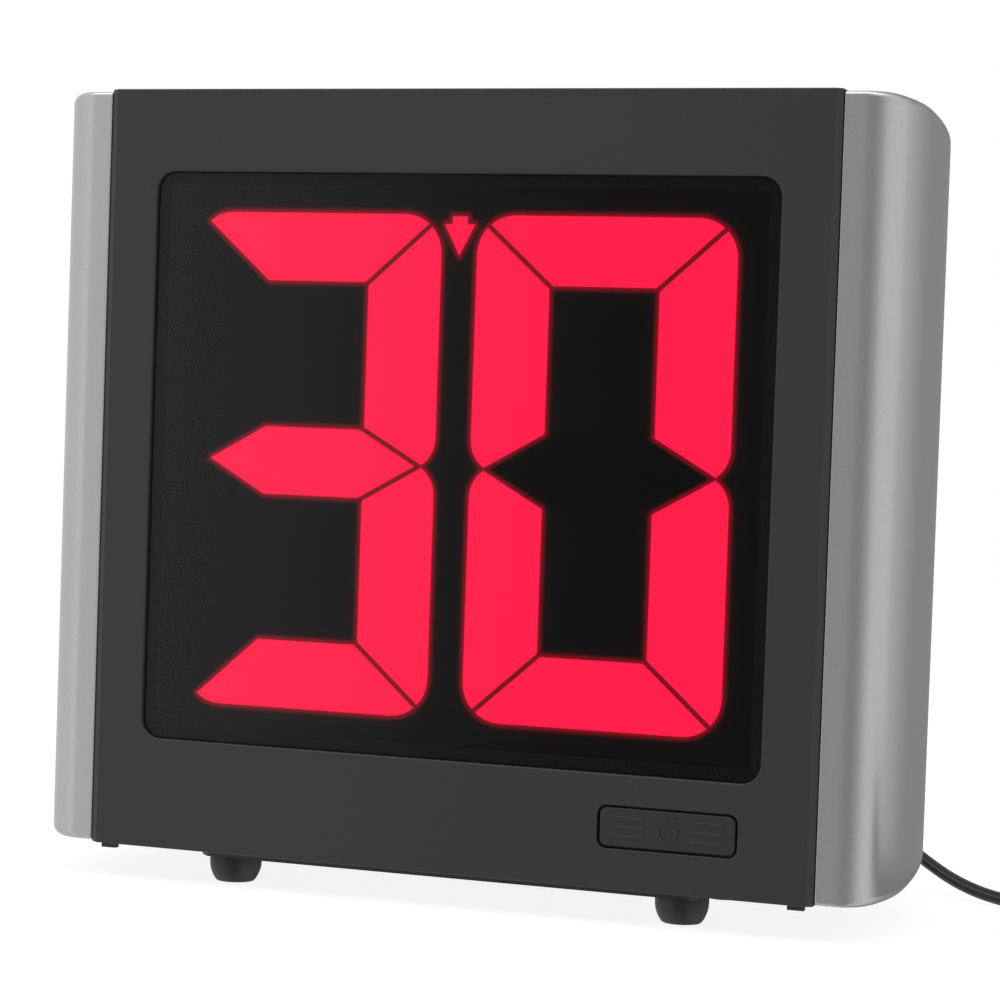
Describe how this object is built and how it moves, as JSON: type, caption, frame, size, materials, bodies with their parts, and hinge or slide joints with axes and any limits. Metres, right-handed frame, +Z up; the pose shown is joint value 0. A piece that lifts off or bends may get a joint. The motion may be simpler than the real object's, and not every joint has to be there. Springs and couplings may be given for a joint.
{
  "type": "countdown game timer",
  "caption": "Freestanding turn timer with large lit digits behind a smoked window, silver side cheeks, a front reset button and a low-voltage power lead.",
  "frame": {"origin": "middle of the footprint, on the surface the four feet stand on, measured without the power lead", "axes": "+X to the reader's right as they face the display, +Y towards the back, +Z up"},
  "size_m": [0.4125, 0.1235, 0.2491],
  "materials": {
    "bezel_plastic": "fine-textured charcoal moulding",
    "case_plastic": "fine-textured charcoal moulding",
    "silver_paint": "satin silver metallic paint on plastic",
    "smoked_lens": "smoked clear acrylic, polished",
    "black_plastic": "black moulding",
    "lit_segment": "light-diffusing red plastic, lit from behind",
    "unlit_segment": "light-diffusing dark plastic, unlit",
    "board": "solder-masked glass-fibre board",
    "led_body": "moulded LED bodies",
    "button_plastic": "charcoal moulding",
    "capacitor_sleeve": "shrunk plastic sleeve",
    "ribbon": "grey flat cable",
    "white_plastic": "natural nylon",
    "switch_steel": "plated pressed steel",
    "rubber": "matte black rubber",
    "screw_steel": "zinc-plated steel",
    "cord_plastic": "flexible black PVC",
    "plated_tip": "nickel plate",
    "adapter_plastic": "black moulded housing",
    "blade_metal": "nickel-plated brass"
  },
  "bodies": {
    "case": {"adapter_blades": "blade_metal", "adapter_body": "adapter_plastic", "adapter_relief": "cord_plastic", "base_plate": "black_plastic", "base_plate_screws": "screw_steel", "board_chips": "black_plastic", "capacitor": "capacitor_sleeve", "case_screws": "screw_steel", "cheek_screws": "screw_steel", "cord_coil": "cord_plastic", "cord_lead": "cord_plastic", "cord_tail": "cord_plastic", "countdown_arrow": "lit_segment", "dc_jack": "black_plastic", "dc_plug": "cord_plastic", "dc_plug_tip": "plated_tip", "display_lens": "smoked_lens", "foot_front_left": "rubber", "foot_front_right": "rubber", "foot_rear_left": "rubber", "foot_rear_right": "rubber", "front_bezel": "bezel_plastic", "led_board": "board", "led_board_screws": "screw_steel", "leds": "led_body", "left_cheek": "silver_paint", "light_box": "black_plastic", "main_board": "board", "main_board_screws": "screw_steel", "piezo_buzzer": "black_plastic", "rear_cover": "case_plastic", "reset_board": "board", "reset_board_screws": "screw_steel", "reset_switch": "black_plastic", "ribbon_cable": "ribbon", "ribbon_headers": "white_plastic", "right_cheek": "silver_paint", "setting_switches": "black_plastic", "slide_switch": "switch_steel", "tens_segment_a": "lit_segment", "tens_segment_b": "lit_segment", "tens_segment_c": "lit_segment", "tens_segment_d": "lit_segment", "tens_segment_e": "unlit_segment", "tens_segment_f": "unlit_segment", "tens_segment_g": "lit_segment", "units_segment_a": "lit_segment", "units_segment_b": "lit_segment", "units_segment_c": "lit_segment", "units_segment_d": "lit_segment", "units_segment_e": "lit_segment", "units_segment_f": "lit_segment", "units_segment_g": "unlit_segment"},
    "reset_button_body": {"reset_button": "button_plastic", "reset_plunger": "black_plastic"},
    "time_up_body": {"time_up_key": "button_plastic"},
    "time_down_body": {"time_down_key": "button_plastic"},
    "start_stop_body": {"start_stop_key": "button_plastic"},
    "slide_knob_body": {"slide_knob": "button_plastic"}
  },
  "joints": [
    {"name": "reset_press", "type": "slide", "parent": "case", "child": "reset_button_body", "axis": [0, 1, 0], "range_m": [0, 0.001], "stiffness_N_per_m": 1200},
    {"name": "time_up_press", "type": "slide", "parent": "case", "child": "time_up_body", "axis": [0, -1, 0], "range_m": [0, 0.0008], "stiffness_N_per_m": 1500},
    {"name": "time_down_press", "type": "slide", "parent": "case", "child": "time_down_body", "axis": [0, -1, 0], "range_m": [0, 0.0008], "stiffness_N_per_m": 1500},
    {"name": "start_stop_press", "type": "slide", "parent": "case", "child": "start_stop_body", "axis": [0, -1, 0], "range_m": [0, 0.0008], "stiffness_N_per_m": 1500},
    {"name": "slide_switch_travel", "type": "slide", "parent": "case", "child": "slide_knob_body", "axis": [1, 0, 0], "range_m": [0, 0.004]}
  ]
}
